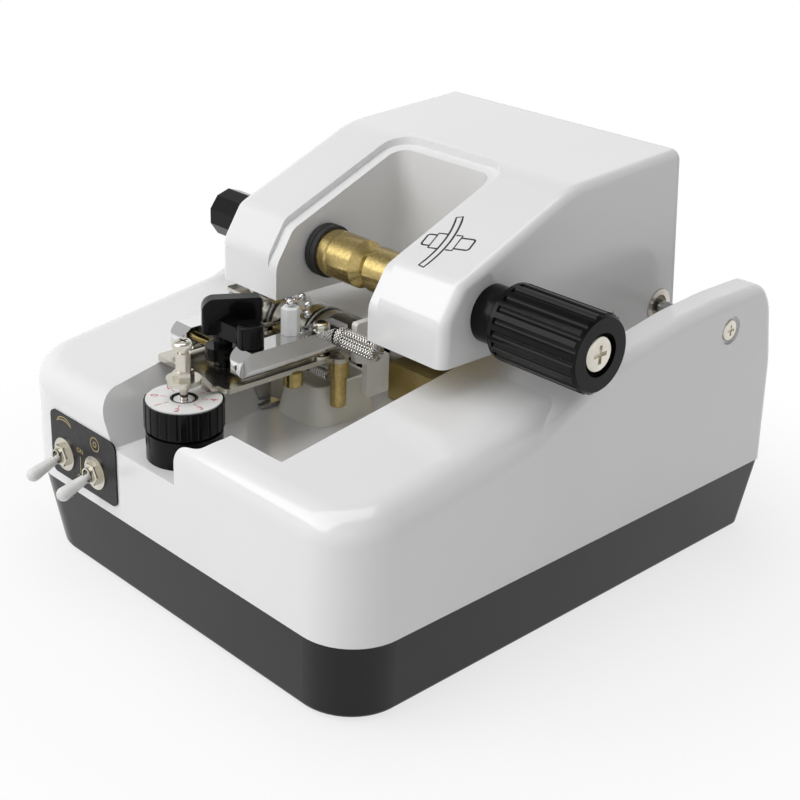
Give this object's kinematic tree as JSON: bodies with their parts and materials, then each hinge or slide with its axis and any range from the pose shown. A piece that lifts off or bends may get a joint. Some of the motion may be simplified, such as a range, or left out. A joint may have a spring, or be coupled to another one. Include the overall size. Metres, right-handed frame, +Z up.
{
  "type": "lens groover",
  "caption": "Desk-top spectacle lens groover: white lift-up head with lens clamp and knobs, grooving wheel over a water cup, depth dial, guide bars and toggle switches on a charcoal base.",
  "frame": {"origin": "On the desk, under the middle of the machine's overall length and width, knobs and switch levers included.", "axes": "X to the right as seen from the switches, Y to the rear, Z up."},
  "size_m": [0.2124, 0.265, 0.1663],
  "materials": {
    "white_plastic": "glossy white lacquer",
    "charcoal_plastic": "satin charcoal plastic",
    "rubber": "matt black rubber",
    "steel": "bright turned steel",
    "zinc_yellow": "yellow zinc plated sheet",
    "copper_core": "varnished laminations",
    "motor_can": "zinc plated can",
    "belt": "matt rubber belt",
    "black_gloss": "gloss black plastic",
    "black_plate": "satin black with pale print",
    "nickel": "nickel plated",
    "chrome": "bright chrome",
    "brass": "turned brass",
    "nylon": "natural nylon",
    "white_vinyl": "white sleeve",
    "dial_white": "white dial card with black marks",
    "diamond": "diamond coated rim",
    "cup_plastic": "milky plastic"
  },
  "bodies": {
    "base": {"base_tub": "charcoal_plastic", "rubber_feet": "rubber", "tub_screws": "steel", "upper_casing": "white_plastic", "chassis_frame": "zinc_yellow", "transformer": "copper_core", "wheel_motor": "motor_can", "drive_belt": "belt", "power_inlet": "black_gloss", "fuse_holder": "black_gloss", "switch_plate": "black_plate", "switch_bodies": "nickel", "switch_nuts": "nickel", "dial_sleeve": "black_gloss", "pivot_rod": "steel", "ear_screws": "nickel", "water_cup": "cup_plastic", "spindle_cartridge": "brass", "plate_post": "steel"},
    "head": {"head_shell": "white_plastic", "head_rear_cover": "white_plastic", "cover_screws": "steel", "head_frame": "zinc_yellow", "pivot_collars": "nickel", "lens_motor": "motor_can", "lens_belt": "belt", "spindle_bushings": "black_gloss", "clamp_bushing": "black_gloss"},
    "lens_drive": {"left_spindle": "steel", "left_knob": "black_gloss", "left_pad": "rubber"},
    "lens_rotor": {"lens_motor_pulley": "steel"},
    "clamp": {"clamp_rod": "steel", "clamp_knob": "black_gloss", "knob_screw": "nickel"},
    "right_chuck": {"brass_chuck": "brass", "right_pad": "rubber"},
    "dial": {"dial_knob": "black_gloss", "dial_face": "dial_white"},
    "lift": {"lift_post": "steel"},
    "mechanism": {"mechanism_plate": "nickel", "depth_screw": "nickel", "depth_nuts": "nickel", "bar_screws": "nickel", "brass_posts": "brass", "nylon_guide": "nylon", "lens_rest": "nickel", "guide_spring": "steel", "chain_anchor": "nickel"},
    "right_bar": {"right_guide_bar": "chrome", "bead_chain": "nickel"},
    "left_bar": {"left_guide_bar": "chrome"},
    "pin": {"selector_pin": "steel"},
    "side_screw": {"knurled_screw": "nickel"},
    "lever": {"wing_lever": "black_gloss"},
    "wheel": {"wheel_spindle": "steel", "grooving_wheel": "diamond"},
    "wheel_rotor": {"wheel_motor_pulley": "steel"},
    "lens_switch": {"lens_toggle": "white_vinyl"},
    "wheel_switch": {"wheel_toggle": "white_vinyl"}
  },
  "joints": [
    {"name": "head_lift", "type": "hinge", "parent": "base", "child": "head", "pos_m": [-0.00745, 0.08753, 0.1019], "axis": [-1, 0, 0], "range_deg": [0, 60]},
    {"name": "lens_spin", "type": "hinge", "parent": "head", "child": "lens_drive", "pos_m": [-0.00745, -0.01497, 0.1231], "axis": [1, 0, 0], "continuous": true},
    {"name": "lens_motor_spin", "type": "hinge", "parent": "head", "child": "lens_rotor", "pos_m": [-0.00745, 0.05053, 0.1276], "axis": [1, 0, 0], "continuous": true},
    {"name": "clamp_slide", "type": "slide", "parent": "head", "child": "clamp", "axis": [1, 0, 0], "range_m": [0, 0.015]},
    {"name": "chuck_spin", "type": "hinge", "parent": "clamp", "child": "right_chuck", "pos_m": [-0.00745, -0.01497, 0.1231], "axis": [1, 0, 0], "continuous": true},
    {"name": "wheel_spin", "type": "hinge", "parent": "base", "child": "wheel", "pos_m": [-0.00745, -0.01647, 0.0875], "axis": [1, 0, 0], "continuous": true},
    {"name": "wheel_motor_spin", "type": "hinge", "parent": "base", "child": "wheel_rotor", "pos_m": [-0.00745, 0.04153, 0.06], "axis": [1, 0, 0], "continuous": true},
    {"name": "depth_dial", "type": "hinge", "parent": "base", "child": "dial", "pos_m": [-0.01945, -0.09647, 0], "axis": [0, 0, 1], "range_deg": [0, 315]},
    {"name": "depth_lift", "type": "slide", "parent": "base", "child": "lift", "axis": [0, 0, 1], "range_m": [0, 0.0014]},
    {"name": "plate_tilt", "type": "hinge", "parent": "base", "child": "mechanism", "pos_m": [-0.00745, -0.03847, 0.084], "axis": [-1, 0, 0], "range_deg": [0, 1.38]},
    {"name": "wing_turn", "type": "hinge", "parent": "mechanism", "child": "lever", "pos_m": [-0.03045, -0.06967, 0], "axis": [0, 0, 1], "range_deg": [0, 90]},
    {"name": "right_bar_swing", "type": "hinge", "parent": "mechanism", "child": "right_bar", "pos_m": [-0.01305, -0.03547, 0], "axis": [0, 0, 1], "range_deg": [0, 2.5]},
    {"name": "left_bar_swing", "type": "hinge", "parent": "mechanism", "child": "left_bar", "pos_m": [-0.04785, -0.03547, 0], "axis": [0, 0, -1], "range_deg": [0, 2.5]},
    {"name": "pin_lift", "type": "slide", "parent": "right_bar", "child": "pin", "axis": [0, 0, 1], "range_m": [0, 0.009], "deforming": ["bead_chain"]},
    {"name": "side_screw_turn", "type": "hinge", "parent": "right_bar", "child": "side_screw", "pos_m": [-0.00745, -0.02967, 0.0975], "axis": [1, 0, 0], "continuous": true},
    {"name": "lens_switch_tip", "type": "hinge", "parent": "base", "child": "lens_switch", "pos_m": [-0.00745, -0.11697, 0.0493], "axis": [-1, 0, 0], "range_deg": [0, 38]},
    {"name": "wheel_switch_tip", "type": "hinge", "parent": "base", "child": "wheel_switch", "pos_m": [-0.00745, -0.11697, 0.0493], "axis": [-1, 0, 0], "range_deg": [0, 38]}
  ],
  "couplings": [
    {"joint": "lens_motor_spin", "follows": "lens_spin", "ratio": 1.3333},
    {"joint": "chuck_spin", "follows": "lens_spin", "ratio": 1},
    {"joint": "wheel_motor_spin", "follows": "wheel_spin", "ratio": 0.62222},
    {"joint": "depth_lift", "follows": "depth_dial", "m_per_rad": 0.00025465},
    {"joint": "plate_tilt", "follows": "depth_dial", "ratio": 0.0043904},
    {"joint": "right_bar_swing", "follows": "wing_turn", "ratio": 0.027777},
    {"joint": "left_bar_swing", "follows": "wing_turn", "ratio": 0.027777}
  ]
}
